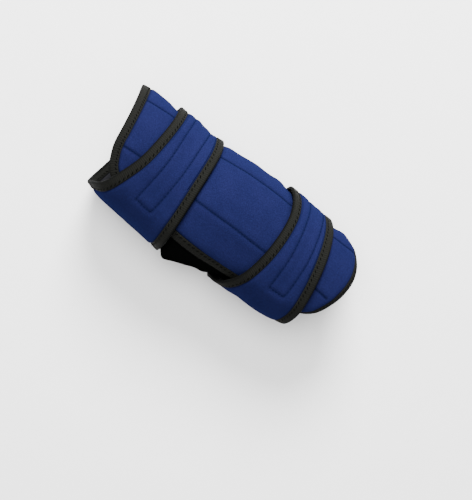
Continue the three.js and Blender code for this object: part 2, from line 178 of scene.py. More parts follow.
# %% The cut of each piece: angle round the hollow, share along it, and the four corners
PANEL_HALF = [
    (66, -1.035), (43, -1.003), (22, -0.968), (4, -0.938), (-10, -0.915), (-21, -0.88),
    (-31, -0.83, "corner"), (-38, -0.765), (-43, -0.67), (-44, -0.45), (-44, -0.2), (-45.5, 0),
    (-49.5, 0.14), (-53, 0.32), (-54, 0.5), (-53.5, 0.68), (-55, 0.815, "corner"),
    (-45.5, 0.897), (-29.5, 0.956), (-9, 0.999), (17.5, 1.021), (39, 1.008), (57, 0.975),
    (74, 0.934),
]
UPPER_STRAP_CUT = [
    (-203, -0.79, "corner"), (-190, -0.84), (-160, -0.87), (-120, -0.89), (-90, -0.885),
    (-66, -0.845), (-45, -0.778), (-23, -0.724), (-3, -0.686), (20, -0.676), (45, -0.682),
    (70, -0.7), (100, -0.715), (124, -0.715), (134, -0.67, "corner"), (137, -0.58),
    (137, -0.42), (134, -0.33, "corner"), (124, -0.285), (100, -0.275), (75, -0.25),
    (49, -0.216), (30, -0.2), (5, -0.18), (-20, -0.157), (-50, -0.14), (-90, -0.145),
    (-140, -0.14), (-190, -0.145), (-203, -0.21, "corner"), (-206, -0.35), (-206, -0.65),
]
LOWER_STRAP_CUT = [
    (-203, 0.275, "corner"), (-190, 0.225), (-140, 0.215), (-95, 0.222), (-77, 0.243),
    (-65, 0.27), (-57, 0.298), (-46, 0.338), (-30, 0.38), (-8, 0.413), (18, 0.43), (40, 0.425),
    (60, 0.398), (80, 0.362), (100, 0.348), (122, 0.35), (133, 0.385, "corner"), (136, 0.45),
    (136, 0.57), (133, 0.635, "corner"), (122, 0.67), (100, 0.675), (80, 0.685), (54, 0.72),
    (30, 0.75), (5, 0.775), (-25, 0.793), (-47, 0.79), (-65, 0.77), (-90, 0.745), (-140, 0.735),
    (-190, 0.72), (-203, 0.67, "corner"), (-206, 0.57), (-206, 0.37),
]
GUSSET_CUT = [
    (-141, -0.32, "corner"), (-128, -0.36), (-90, -0.37), (-52, -0.36),
    (-39, -0.32, "corner"), (-38, -0.2), (-38, 0.2),
    (-40, 0.34, "corner"), (-52, 0.385), (-90, 0.4), (-128, 0.385),
    (-140, 0.34, "corner"), (-142, 0.2), (-142, -0.2),
]
UPPER_HOOK_CUT = [
    (-36, -0.52, "corner"), (-34, -0.527), (5, -0.522), (47, -0.56), (90, -0.585),
    (125, -0.6), (127, -0.593, "corner"), (127, -0.4), (127, -0.397, "corner"),
    (125, -0.39), (90, -0.385), (47, -0.37), (5, -0.34), (-34, -0.345),
    (-36, -0.352, "corner"), (-36, -0.5),
]
LOWER_HOOK_CUT = [
    (-33, 0.545, "corner"), (-31, 0.54), (5, 0.545), (44, 0.52), (90, 0.48), (124, 0.465),
    (126, 0.47, "corner"), (126, 0.59), (126, 0.595, "corner"), (124, 0.6), (90, 0.615),
    (44, 0.655), (5, 0.68), (-31, 0.67), (-33, 0.664, "corner"), (-33, 0.56),
]
# The panel's other half mirrors the first one, about the inside of the elbow.
mirrored = [(180 - row[0], *row[1:]) for row in PANEL_HALF]
panel_ring = [(90, 0.882)] + PANEL_HALF[::-1] + [(90, -1.05)] + mirrored
first = next(k for k, row in enumerate(panel_ring) if len(row) == 3 and row[1] < 0)
PANEL_CUT = panel_ring[first:] + panel_ring[:first]
print("points in the panel's cut:", len(PANEL_CUT))

# %% [markdown]
# A pattern maker draws a smooth line through a few points. A curve object could do that,
# but the grid needs the same count of even steps on opposite sides, so the curve is
# worked out here. A Catmull-Rom curve passes through every point that it is given, and
# its centripetal form doesn't overshoot where points lie close.

# %% Smooth closed curves, and distances along them
CURVE_STEPS = 24


def closed_curve(points):
    """A centripetal Catmull-Rom curve through a ring of points, as steps for each span."""
    p0, p1, p2, p3 = (np.roll(points, k, 0) for k in (1, 0, -1, -2))
    pairs = ((p0, p1), (p1, p2), (p2, p3))
    d0, d1, d2 = (np.sqrt(np.linalg.norm(b - a, axis=1))[:, None] for a, b in pairs)
    m1 = ((p1 - p0) / d0 - (p2 - p0) / (d0 + d1) + (p2 - p1) / d1) * d1
    m2 = ((p2 - p1) / d1 - (p3 - p1) / (d1 + d2) + (p3 - p2) / d2) * d1
    t = (np.arange(CURVE_STEPS) / CURVE_STEPS)[None, :, None]
    p1, p2, m1, m2 = (v[:, None, :] for v in (p1, p2, m1, m2))
    return p1 + t * (m1 + t * (3 * (p2 - p1) - 2 * m1 - m2 + t * (2 * (p1 - p2) + m1 + m2)))


def reach_along(path):
    """The distance run along a path, at each of its points."""
    steps = np.linalg.norm(np.diff(path, axis=0), axis=1)
    return np.concatenate([[0], np.cumsum(steps)])


def points_at(path, reach, want):
    """The points of a path where it has run the wanted distances."""
    return np.stack([np.interp(want, reach, path[:, k]) for k in (0, 1)], -1)


def evenly(path, count):
    """A path at equal spacing, without its last point."""
    reach = reach_along(path)
    return points_at(path, reach, reach[-1] * np.arange(count) / count)


def closed_path(loop):
    """A ring of points as a path that comes back to its first point."""
    return np.vstack([loop, loop[:1]])


square = np.array([(0.0, 0.0), (1.0, 0.0), (1.0, 1.0), (0.0, 1.0)])
rounded = closed_path(closed_curve(square).reshape(-1, 2))
print("a smooth ring through a square of side 1 is", reach_along(rounded)[-1].round(2), "long")

# %% [markdown]
# An outline keeps its loop of even points and the way inwards at each one, square to the
# edge as it lies on the wall. Seams, tape and puffing all run beside the edge, and they
# are simply the loop moved inwards. The panel's lower end is also rolled in towards the
# hollow: there an inset ring travels round a small arc instead of straight on.

# %% The outlines
# The grid's spacing, and the roll: its radius, its length and the shares where it begins
# and is full.
FINE = 1.35
ROLL_RADIUS = 12.0
ROLL_LENGTH = 12.0
ROLL_START = 0.68
ROLL_FULL = 0.82
NEARLY_STRAIGHT = 1e-5


def smoothstep(x, low, high):
    """Eases from 0 at low to 1 at high."""
    t = np.clip((x - low) / (high - low), 0, 1)
    return t * t * (3 - 2 * t)


def millimetres_per_degree(along):
    """How far round the hollow one degree is, from the mean of its half sizes."""
    mean = (section_size("front", along) + section_size("back", along)) / 4
    return np.radians(mean + section_size("height", along) / 2)


def outline_of(cut, spacing):
    """A cut's outline: its loop, the way inwards, and the grid's columns and ranks."""
    flat = np.array([(math.radians(row[0]) * HOLLOW_RADIUS, along_of(row[1])) for row in cut])
    spans = closed_curve(flat)
    corners = [k for k, row in enumerate(cut) if len(row) == 3] + [len(cut)]
    sides = []
    for a, b in zip(corners[:4], corners[1:]):
        sides.append(np.vstack([spans[a:b].reshape(-1, 2), flat[b % len(cut)][None]]))
    lengths = [reach_along(side)[-1] for side in sides]
    columns = round(max(lengths[0], lengths[2]) / spacing)
    ranks = max(4, round(max(lengths[1], lengths[3]) / spacing))
    loop = np.vstack([evenly(side, count) for side, count in zip(sides, (columns, ranks) * 2)])
    loop[:, 0] = np.degrees(loop[:, 0] / HOLLOW_RADIUS)
    per_degree = millimetres_per_degree(loop[:, 1])
    way = np.roll(loop, -1, 0) - np.roll(loop, 1, 0)
    way[:, 0] *= per_degree
    way /= np.linalg.norm(way, axis=1, keepdims=True)
    inward = np.stack([-way[:, 1] / per_degree, way[:, 0]], -1)
    roll = np.zeros(len(loop))
    return {"loop": loop, "inward": inward, "columns": columns, "ranks": ranks, "roll": roll}


def inset(outline, depth):
    """The outline moved inwards by a depth, which may differ from point to point."""
    depth = np.broadcast_to(depth, len(outline["loop"]))
    return outline["loop"] + outline["inward"] * depth[:, None]


def rolled(outline, depth, height):
    """Where a ring's points go as the edge rolls in: their places in the cut, and heights."""
    bend = outline["roll"] / ROLL_RADIUS
    turn = np.maximum(ROLL_LENGTH - depth, 0) * bend
    radius = 1 / np.maximum(bend, NEARLY_STRAIGHT)
    reach = radius - PANEL + height
    deep = np.where(turn > 0, ROLL_LENGTH - reach * np.sin(turn), depth)
    rise = np.where(turn > 0, PANEL - radius + reach * np.cos(turn), height)
    return inset(outline, deep), rise


panel_outline = outline_of(PANEL_CUT, FINE)
upper_outline = outline_of(UPPER_STRAP_CUT, FINE)
lower_outline = outline_of(LOWER_STRAP_CUT, FINE)
gusset_outline = outline_of(GUSSET_CUT, 1.5 * FINE)
upper_hook_outline = outline_of(UPPER_HOOK_CUT, 2 * FINE)
lower_hook_outline = outline_of(LOWER_HOOK_CUT, 2 * FINE)
panel_outline["roll"] = smoothstep(panel_outline["loop"][:, 1] / LOWER_SPAN, ROLL_START, ROLL_FULL)
print("panel grid:", panel_outline["columns"], "by", panel_outline["ranks"])

# %% [markdown]
# Foam swells beside a seam and sinks under tape, and both depend only on how far a point
# is from a line. Blender's proximity node could measure that on the mesh, but the heights
# are wanted before there is a mesh, so the distances are taken in the flat cut.

# %% Distances in the flat cut
CHUNK = 4000


def scale_at(points):
    """What turns degrees and millimetres at each point into millimetres both ways."""
    return np.stack([millimetres_per_degree(points[:, 1]), np.ones(len(points))], -1)


def distance_to(points, path, closed):
    """Millimetres from each point to a path, measured along the wall."""
    flat = points.reshape(-1, 2)
    ends = np.roll(path, -1, 0) if closed else path[1:]
    starts = path if closed else path[:-1]
    nearest = np.empty(len(flat))
    for k in range(0, len(flat), CHUNK):
        part = flat[k : k + CHUNK]
        scale = scale_at(part)[:, None]
        a = (starts[None] - part[:, None]) * scale
        b = (ends[None] - part[:, None]) * scale
        d = b - a
        t = np.clip(-(a * d).sum(-1) / np.maximum((d * d).sum(-1), 1e-12), 0, 1)
        nearest[k : k + CHUNK] = np.linalg.norm(a + t[..., None] * d, axis=-1).min(1)
    return nearest.reshape(points.shape[:-1])


def depth_in(points, outline):
    """How deep each point lies inside an outline, of which every third point is enough."""
    return distance_to(points, outline["loop"][::3], True)


def inside(points, loop):
    """Whether each point lies in a closed loop, by counting crossings."""
    a, b = loop, np.roll(loop, -1, 0)
    rise = np.where(b[:, 1] == a[:, 1], 1.0, b[:, 1] - a[:, 1])
    within = np.empty(len(points), bool)
    for k in range(0, len(points), CHUNK):
        x, y = points[k : k + CHUNK, 0, None], points[k : k + CHUNK, 1, None]
        crosses = (a[:, 1] > y) != (b[:, 1] > y)
        at = a[:, 0] + (y - a[:, 1]) / rise * (b[:, 0] - a[:, 0])
        within[k : k + CHUNK] = (crosses & (at > x)).sum(-1) % 2
    return within


def outside_by(points, outline):
    """How far each point lies outside an outline, and 0 inside it."""
    loop = outline["loop"][::4]
    flat = points.reshape(-1, 2)
    away = np.where(inside(flat, loop), 0, distance_to(flat, loop, True))
    return away.reshape(points.shape[:-1])


elbow_inside = np.array([[90.0, 0.0]])
print("inside of the elbow to the edge:", depth_in(elbow_inside, panel_outline)[0].round(), "mm")

# %% [markdown]
# The layers lie on each other: the gusset on the wall of the hollow, the panel's long
# edges over the gusset, and each strap over both. A strap sinks from the panel down to
# the gusset in a soft ramp, as padded cloth does when it is pulled tight over an edge.
# One function for each layer gives its lower face, so every piece and its tape agree.

# %% Heights of the lower faces over the wall
GUSSET = 1.5
HOOK = 0.8
HOOK_GAP = 0.5
GUSSET_SEAT = GUSSET + LAYER_GAP
# The panel climbs to the gusset's seat between these angles from the inside of the elbow.
CLIMB_START = 106
CLIMB_END = 130
STRAP_LANDING = 2.0
STRAP_CLIMB = 32.0


def gusset_face(points):
    """The gusset lies on the wall itself."""
    return np.zeros(points.shape[:-1])


def panel_face(points):
    """The panel lies on the wall, and its long edges on the gusset."""
    return GUSSET_SEAT * smoothstep(np.abs(points[..., 0] - 90), CLIMB_START, CLIMB_END)


def hook_face(points):
    """The hook tape lies on the panel, by its hooks."""
    return panel_face(points) + PANEL + HOOK_GAP


def strap_face(points):
    """The root lies past the elbow point on the far half, one turn further round."""
    root = points[..., 0] < -90
    turned = points + np.stack([np.where(root, 360.0, 0.0), np.zeros(root.shape)], -1)
    over = np.where(root, LAYER_GAP, HOOK + 2 * HOOK_GAP)
    on_panel = panel_face(turned) + PANEL + over
    cover = 1 - smoothstep(outside_by(turned, panel_outline), STRAP_LANDING, STRAP_CLIMB)
    return GUSSET_SEAT + (on_panel - GUSSET_SEAT) * cover


print("a strap's lower face, inside of the elbow:", strap_face(elbow_inside)[0].round(2), "mm")

# %% [markdown]
# A sheet of cloth is two faces and an edge. Rings follow the outline inwards, so that the
# step under the tape and the roll beside it stay parallel to the edge, and a blended
# grid fills the middle. A plain grid trimmed to the outline would leave a ragged edge.

# %% A grid that fills a loop
def fill_loop(loop, columns, ranks):
    """Blends the four sides of a loop into a grid of points, its border the loop itself."""
    upper = loop[: columns + 1]
    far = loop[columns : columns + ranks + 1]
    lower = loop[columns + ranks : 2 * columns + ranks + 1][::-1]
    near = closed_path(loop)[2 * columns + ranks :][::-1]
    u = np.linspace(0, 1, columns + 1)[None, :, None]
    v = np.linspace(0, 1, ranks + 1)[:, None, None]
    sides = upper[None] * (1 - v) + lower[None] * v + near[:, None] * (1 - u) + far[:, None] * u
    top = upper[0] * (1 - u) + upper[-1] * u
    bottom = lower[0] * (1 - u) + lower[-1] * u
    return sides - (top * (1 - v) + bottom * v)


def border_numbers(columns, ranks):
    """Where each border place of the grid lies in the loop, and -1 inside."""
    number = np.full((ranks + 1, columns + 1), -1)
    number[0] = np.arange(columns + 1)
    number[:, -1] = np.arange(columns, columns + ranks + 1)
    number[-1] = np.arange(columns + ranks, 2 * columns + ranks + 1)[::-1]
    number[1:, 0] = np.arange(2 * columns + ranks, 2 * (columns + ranks))[::-1]
    return number


def grid_of(outline):
    """The plain grid of an outline, before any ring is drawn in it."""
    return fill_loop(outline["loop"], outline["columns"], outline["ranks"])


print("grid of the gusset:", grid_of(gusset_outline).shape[:2], "points")

# %% [markdown]
# The construction puts its origin at the middle of the footprint, and the wall has its
# own at the elbow. The shift between them could be copied as a number, but then it would
# go stale. It is read off the boxes of four solids instead, and their spread shows the
# fit. The panel is measured before its end is rolled in, so its own shift differs by a
# few millimetres, and the mean by less than one.

# %% Where the origin lies
COARSE = 3


def sheet_extent(outline, lower, thickness):
    """The lowest and highest corner of a plain sheet."""
    grid = grid_of(outline)[::COARSE, ::COARSE]
    points = np.concatenate([grid.reshape(-1, 2), outline["loop"]])
    faces = np.concatenate([over_wall(points, lower(points) + rise) for rise in (0, thickness)])
    return faces.min(0), faces.max(0)


shifts = []
for solid, outline, lower, thickness in (
    ("front_panel", panel_outline, panel_face, PANEL),
    ("upper_strap", upper_outline, strap_face, STRAP),
    ("lower_strap", lower_outline, strap_face, STRAP),
    ("elbow_gusset", gusset_outline, gusset_face, GUSSET),
):
    low, high = sheet_extent(outline, lower, thickness)
    solid_low, solid_high = (np.array(corner) * 1000 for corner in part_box(solid))
    shifts.append((solid_low + solid_high)[:2] / 2 - (low + high)[:2] / 2)
    sizes = (high - low).round(1), (solid_high - solid_low).round(1)
    print(solid, "shift", shifts[-1].round(2), "size as cloth and as solid", *sizes)
SHIFT = np.append(np.mean(shifts, 0), 0.0)
print("shift of the origin:", SHIFT.round(2), "mm")

# %% [markdown]
# Two seams along the panel hold the channel of a stay, and a stitched box near each
# strap's free end holds its hook tape. Each line needs to be drawn only once, in the flat
# cut: the groove in the foam and the stitches in it are both made from it later.

# %% Where the panel and the straps are stitched
SEAM_POINTS = 160
SMOOTHINGS = 30
BOX_MARGIN = 1.5
CHANNEL_LOW = [
    (-8, -0.93), (-6, -0.85), (-3, -0.7), (-1, -0.4), (-1, -0.15), (-1, 0.157),
    (-4, 0.33), (-5, 0.39), (-7, 0.6), (-9, 0.79), (-13, 0.9),
]
CHANNEL_HIGH = [
    (50, -0.96), (51, -0.89), (58, -0.75), (60, -0.69), (55, -0.3), (53, 0.0), (55, 0.3),
    (57, 0.5), (57, 0.76), (54, 0.92),
]


def seam_path(rows):
    """A stitched line as a dense, smoothed path in the flat cut."""
    flat = np.array([(row[0], along_of(row[1])) for row in rows], float)
    reach = reach_along(flat)
    path = points_at(flat, reach, np.linspace(0, reach[-1], SEAM_POINTS))
    for _ in range(SMOOTHINGS):
        path[1:-1] = (path[:-2] + 2 * path[1:-1] + path[2:]) / 4
    return path


channel_seams = [seam_path(CHANNEL_LOW), seam_path(CHANNEL_HIGH)]
upper_box = inset(upper_hook_outline, BOX_MARGIN)
lower_box = inset(lower_hook_outline, BOX_MARGIN)
print("channel seams:", [round(float(np.ptp(path[:, 1]))) for path in channel_seams], "mm long")

# %% [markdown]
# The loop laminate is foam between two cloths, so a stitched line sinks into it and the
# cloth swells on either side. Under the tape the foam is pressed thin, and beside the
# tape it rolls up proud again. These are worked out as heights from the distance to each
# line, which keeps a groove the same width all along. A painted groove would catch no
# light, and a sculpted one would wander.

# %% The relief of padded cloth
# A stitched line: its groove, and the puff beside it.
SEAM_DEPTH = 0.55
SEAM_WIDTH = 1.0
SEAM_PUFF = 0.3
SEAM_PUFF_AT = 4.5
SEAM_PUFF_WIDTH = 3.0
# The tape: its width and thickness, how deep it is let in, and its gap to the foam.
TAPE_WIDTH = 6.8
TAPE = 0.8
TAPE_RECESS = 0.3
SEAT_GAP = 0.3
TAPE_STEP = TAPE_RECESS + TAPE + SEAT_GAP
# The foam beside the tape: how soon it rounds up, and its puff.
EDGE_ROUNDING = 3.6
EDGE_PUFF = 0.4
EDGE_PUFF_AT = 13
EDGE_PUFF_WIDTH = 7.0
# How deep from the edge the cloth's slack begins and is full.
SLACK_START = 8
SLACK_FULL = 16
# How dark the painted shade along the tape's inner edge is, and how wide.
TAPE_SHADE = 0.8
TAPE_SHADE_WIDTH = 1.3
# How soon the inner face levels out beside the tape.
UNDER_EASING = 1.7


def seam_relief(seam):
    """The groove of a stitched line, and the swelling of the foam beside it."""
    groove = -SEAM_DEPTH * bell(seam, SEAM_WIDTH)
    return groove + SEAM_PUFF * bell(seam - SEAM_PUFF_AT, SEAM_PUFF_WIDTH)


def edge_relief(depth):
    """The step under the tape, and the foam that rolls up beside it."""
    t = np.clip((depth - TAPE_WIDTH) / EDGE_ROUNDING, 0, 1)
    roll = np.sqrt(1 - (1 - t) ** 2)
    puff = EDGE_PUFF * bell(depth - EDGE_PUFF_AT, EDGE_PUFF_WIDTH) * roll
    return -TAPE_STEP * (1 - roll) + puff


def slack(points):
    """The slow unevenness of cloth that has been worn: low swells with no clear repeat."""
    angle, along = np.radians(points[..., 0]), points[..., 1] / 10
    swell = np.sin(2.3 * angle + 0.9 * along) * np.sin(1.1 * along - 1.7 * angle + 0.6)
    return 0.22 * swell + 0.12 * np.sin(3.1 * along + 2.0 * angle + 1.3) * np.sin(4.3 * angle)


def padded_lift(points, depth, seam, looseness=1.0):
    """The outer face's height over its plain thickness, all but any swells."""
    loose = slack(points) * smoothstep(depth, SLACK_START, SLACK_FULL) * looseness
    return edge_relief(depth) + seam_relief(seam) + loose


def crease_of(seam, depth, seam_share=1.0):
    """How much painted shade a point gets: in a seam's groove, and along the tape's inner edge."""
    return seam_share * bell(seam, 1.0) + TAPE_SHADE * bell(depth - TAPE_WIDTH, TAPE_SHADE_WIDTH)


def plain_under(points, depth):
    """The inner face: stepped under the tape's inner leg, and flat elsewhere."""
    return TAPE_STEP * (1 - smoothstep(depth, TAPE_WIDTH, TAPE_WIDTH + UNDER_EASING))


print("a seam sinks", -seam_relief(0.0).round(2), "mm, the tape's step", round(TAPE_STEP, 2), "mm")

# %% [markdown]
# A mesh made from lists of points and faces is the plainest kind, and the surest: nothing
# in it depends on a modifier. Each mesh is written in metres and in its final place, and
# its volume tells whether the faces point outwards, because it comes out negative when
# they don't. Numbers kept at the vertices can be read by the materials later.

# %% Make a mesh object
MM = 0.001
FLOOR = 0.00005


def linked(name, data):
    """An object that shows some data in the scene."""
    made = bpy.data.objects.new(name, data)
    bpy.context.collection.objects.link(made)
    return made


def mesh_object(name, vertices, faces):
    """A smooth mesh in metres, in the part's own frame, turned so that it faces outwards."""
    place = (vertices + SHIFT) * MM
    place[:, 2] = np.maximum(place[:, 2], FLOOR)
    mesh = bpy.data.meshes.new(name)
    mesh.from_pydata(place.tolist(), [], faces.tolist())
    mesh.validate()
    mesh.shade_smooth()
    a, b, c, d = (place[faces[:, k]] for k in range(4))
    volume = (np.cross(b - a, c - a) * a).sum() / 6 + (np.cross(c - a, d - a) * a).sum() / 6
    if volume < 0:
        mesh.flip_normals()
    print(name, "has", 2 * len(faces), "triangles and", round(abs(volume) * 1e6, 1), "cm3")
    return linked(name, mesh)


def set_values(mesh, name, values):
    """Keeps a number, or a vector, at each vertex of a mesh."""
    values = np.asarray(values, np.float32)
    kind, field = ("FLOAT", "value") if values.ndim == 1 else ("FLOAT_VECTOR", "vector")
    mesh.attributes.new(name, kind, "POINT").data.foreach_set(field, values.ravel())


print("the lowest point of a mesh lies", FLOOR / MM, "mm over the ground")

# %% [markdown]
# One builder makes every sheet: rings at the edge, a grid within, and the same again for
# the inner face. A flat grid with a Solidify modifier would have the same height on both
# faces, where here only the outer one is puffed. Heights come in as functions, so the
# builder knows nothing of seams. Each vertex also carries how deep in a crease it lies,
# which the material reads to gather shade there.

# %% Build a sheet
RINGS = [0.0, 3.4, 5.8, 6.7, 6.95, 7.3, 7.8, 8.5]
ROLL_RINGS = RINGS + [9.4, 10.3, 11.2, ROLL_LENGTH]


def sheet_faces(n, columns, ranks, rings):
    """The quads of one face of a sheet: bands between the rings, then the grid within."""
    i = np.arange(n)
    k = (i + 1) % n
    quads = [np.stack([i, k, k + n, i + n], -1) + ring * n for ring in range(rings - 1)]
    border = border_numbers(columns, ranks)
    number = np.where(border >= 0, border + (rings - 1) * n, -1)
    within = np.arange((ranks - 1) * (columns - 1)).reshape(ranks - 1, columns - 1)
    number[1:-1, 1:-1] = rings * n + within
    cells = [number[:-1, :-1], number[:-1, 1:], number[1:, 1:], number[1:, :-1]]
    quads.append(np.stack([cell.ravel() for cell in cells], -1))
    return np.concatenate(quads)


def sheet_object(name, outline, lower, thickness, relief, under, rings):
    """relief and under give the outer and inner face's height from (points, depth)."""
    columns, ranks, n = outline["columns"], outline["ranks"], len(outline["loop"])
    hoops = [inset(outline, depth) for depth in rings]
    within = fill_loop(hoops[-1], columns, ranks)[1:-1, 1:-1].reshape(-1, 2)
    points = np.concatenate(hoops + [within])
    depth = np.concatenate([np.repeat(rings, n), depth_in(within, outline)])
    lift, crease = relief(points, depth)
    sides = []
    for height in (thickness + lift, under(points, depth)):
        place = points.copy()
        for count, ring_depth in enumerate(rings):
            hoop = slice(count * n, (count + 1) * n)
            place[hoop], height[hoop] = rolled(outline, ring_depth, height[hoop])
        sides.append(over_wall(place, lower(place) + height))
    outer = sheet_faces(n, columns, ranks, len(rings))
    i = np.arange(n)
    k = (i + 1) % n
    rim = np.stack([k, i, i + len(points), k + len(points)], -1)
    faces = np.concatenate([outer, outer[:, ::-1] + len(points), rim])
    made = mesh_object(name, np.concatenate(sides), faces)
    set_values(made.data, "crease", np.concatenate([crease, np.zeros(len(points))]))
    return made


print("rings at a plain edge:", len(RINGS), "and at one that may roll:", len(ROLL_RINGS))

# %% [markdown]
# The front panel wraps the front and both sides, with the channel's two seams along it.
# It swells where neither strap presses it: at both ends, and between the straps, where
# the cloth at the inside of the elbow has nowhere to go and gathers in soft folds. A
# cloth simulation would find folds of its own, and these have to be the real ones, so
# each is a broad bell with its own place and height.

# %% The front panel
# Each fold has its place along the brace, its width and height, and how far from a strap's
# edge it has its full height.
FOLDS = [
    (-0.83, 9.0, 0.9, 5.0),
    (-0.18, 9.5, 2.3, 3.0),
    (0.07, 6.0, 0.2, 12.0),
    (0.27, 8.0, 1.7, 6.0),
    (0.82, 9.0, 1.1, 5.0),
]
FOLD_ANGLE = 100
FOLD_SPREAD = 26
# What is left of the puffing under a strap, and the painted shade beside a strap's edge.
PRESSED = 0.3
BESIDE_SHADE = 0.5
BESIDE_WIDTH = 2.4


def panel_relief(points, depth):
    """Under a strap the puffing is pressed low, and beside one the cloth gets painted shade."""
    seam = np.min([distance_to(points, path, False) for path in channel_seams], axis=0)
    clear = np.min([outside_by(points, cover) for cover in (upper_outline, lower_outline)], axis=0)
    lift = padded_lift(points, depth, seam)
    left = PRESSED + (1 - PRESSED) * smoothstep(clear, 1, 12)
    lift = np.where(lift > 0, lift * left, lift)
    front = bell(points[..., 0] - FOLD_ANGLE, FOLD_SPREAD)
    for at, width, height, free in FOLDS:
        rise = height * smoothstep(clear, 0.3, free)
        lift += rise * front * bell(points[..., 1] - along_of(at), width)
    # Painted shade: the cloth beside a strap's edge is darkened, for the shade the edge casts.
    beside = np.where(clear > 0, BESIDE_SHADE * bell(clear, BESIDE_WIDTH), 0)
    return lift, np.clip(crease_of(seam, depth) + beside, 0, 1)


panel = sheet_object(
    "panel_cloth", panel_outline, panel_face, PANEL, panel_relief, plain_under, ROLL_RINGS
)

# %% [markdown]
# Each strap is a wing: broad at the back, where its root is sewn to the panel, and
# narrow where it fastens. A stitched box near the free end holds the hook tape on its
# far side. The lower wing is cut back in a curve to leave the elbow point free. One
# function writes the relief of both, because they differ only in their box and in the
# swells of the upper one at the inside of the elbow.

# %% The two straps
# Each swell has its place along the brace, its width, and its height, which may be a dip.
UPPER_SWELLS = [(-0.53, 7.0, 1.2), (-0.36, 6.0, -1.0)]
SWELL_ANGLE = 90
SWELL_SPREAD = 28
# Within the stitched box the cloth has less slack, and its seam is shaded less.
BOX_SLACK = 0.5
BOX_SHADE = 0.65


def strap_relief(box, swells=()):
    """The relief of a strap with its stitched box, as a function for the sheet builder."""

    def relief(points, depth):
        seam = distance_to(points, box, True)
        looseness = np.where(inside(points, box), BOX_SLACK, 1.0)
        lift = padded_lift(points, depth, seam, looseness)
        front = bell(points[..., 0] - SWELL_ANGLE, SWELL_SPREAD) * smoothstep(depth, 7, 11)
        for at, width, height in swells:
            lift += height * front * bell(points[..., 1] - along_of(at), width)
        return lift, np.clip(crease_of(seam, depth, BOX_SHADE), 0, 1)

    return relief


upper_relief = strap_relief(upper_box, UPPER_SWELLS)
lower_relief = strap_relief(lower_box)
upper_strap = sheet_object(
    "upper_strap_cloth", upper_outline, strap_face, STRAP, upper_relief, plain_under, RINGS
)
lower_strap = sheet_object(
    "lower_strap_cloth", lower_outline, strap_face, STRAP, lower_relief, plain_under, RINGS
)

# %% [markdown]
# The gusset is a thin stretch cloth behind the elbow point. Its edges are held down under
# the panel and the straps, and between the straps' edges it is pushed out a few
# millimetres. That bulge could be a soft-body result, but two bells give it in the right
# place at once, and a slight ripple keeps it from looking blown up.

# %% The gusset behind the elbow
# Each bulge has its place along the brace in millimetres, its width and its height.
BULGES = [(-10, 7.5, 5.6), (23, 5, 2.0)]
BULGE_SPREAD = 30
UNDER_STRAP = -17
PAST_STRAP = -7
RIPPLE = 0.35
GUSSET_RINGS = [0.0, 0.8, 2.0, 4.0]


def gusset_under(points, depth):
    """How far the stretch cloth is pushed out between the straps' edges."""
    along, from_point = points[..., 1], points[..., 0] + 90
    swell = sum(height * bell(along - at, width) for at, width, height in BULGES)
    return swell * smoothstep(along, UNDER_STRAP, PAST_STRAP) * bell(from_point, BULGE_SPREAD)


def gusset_relief(points, depth):
    """The bulge, with a slight ripple away from the edge."""
    angle, along = points[..., 0], points[..., 1]
    wave = np.sin(along / 5.2 + np.sin(np.radians(3 * angle)))
    ripple = RIPPLE * wave * np.sin(np.radians(4.5 * angle + 20))
    return gusset_under(points, depth) + ripple * smoothstep(depth, 3, 14), np.zeros(len(points))


gusset = sheet_object(
    "gusset_cloth", gusset_outline, gusset_face, GUSSET, gusset_relief, gusset_under, GUSSET_RINGS
)

# %% [markdown]
# A strip of hook tape is sewn under each strap's free end, and grips the panel's loops.
# It hardly shows, so it is the same sheet with flat faces: its hooks are left to the
# material, because thousands of them in the dark would cost much and add nothing.

# %% The hook tape under the straps
HOOK_RINGS = [0.0, 0.5, 1.5]


def flat_under(points, depth):
    """No relief on the inner face."""
    return np.zeros(len(points))


def flat_relief(points, depth):
    """No relief on the outer face, and no creases."""
    return np.zeros(len(points)), np.zeros(len(points))


upper_hook, lower_hook = (
    sheet_object(name, outline, hook_face, HOOK, flat_relief, flat_under, HOOK_RINGS)
    for name, outline in (
        ("upper_hook_tape", upper_hook_outline), ("lower_hook_tape", lower_hook_outline),
    )
)

# %% [markdown]
# The binding is one long strip folded over the edge, so here it is a folded section
# carried round the outline. A curve with a bevel object could carry it too, but it would
# twist at the corners. Carrying it along the same outline as the sheet keeps it seated on
# every bend.

# %% The tape's section
TAPE_BULGE = 1.1
TAPE_CROWN = 0.18
FOLD_STEPS = 8


def tape_section(thickness):
    """The folded section as depths from the edge and heights, and how far across it."""
    low, high = TAPE_RECESS, thickness - TAPE_RECESS
    middle, half = thickness / 2, thickness / 2 - TAPE_RECESS
    fold = TAPE_BULGE + SEAT_GAP
    section = [(TAPE_WIDTH, high - TAPE), (TAPE_WIDTH + 0.1, high - 0.5 * TAPE)]
    section += [(TAPE_WIDTH - 0.15, high - 0.1)]
    for depth in (5.8, 4.6, 3.4, 2.2, 1.0):
        section.append((depth, high + TAPE_CROWN * math.sin(math.pi * depth / TAPE_WIDTH)))
    for k in range(FOLD_STEPS + 1):
        turn = math.radians(90 - 180 * k / FOLD_STEPS)
        section.append((-fold * math.cos(turn), middle + half * math.sin(turn)))
    section += [(depth, low - 0.05) for depth in (2.0, 4.0, 6.0)]
    section += [(TAPE_WIDTH, low + 0.15), (TAPE_WIDTH, low + TAPE)]
    section += [(2.0, low + TAPE), (-SEAT_GAP, low + TAPE)]
    section += [(-SEAT_GAP, high - TAPE), (2.0, high - TAPE)]
    section = np.array(section)
    return section, reach_along(section)


print("points in the tape's section:", len(tape_section(PANEL)[0]))

# %% [markdown]
# The section is carried from point to point of the outline, and the tape's width wanders
# by a little, as it does when it is sewn on. The strip's own lengths, along its
# outer leg and across its section, become the UV map. Unwrapping the finished mesh would
# give one too, but cut and turned where the unwrapping likes.

# %% Fold the tape over the edges
WANDER = 0.2
ON_THE_LEG = 4


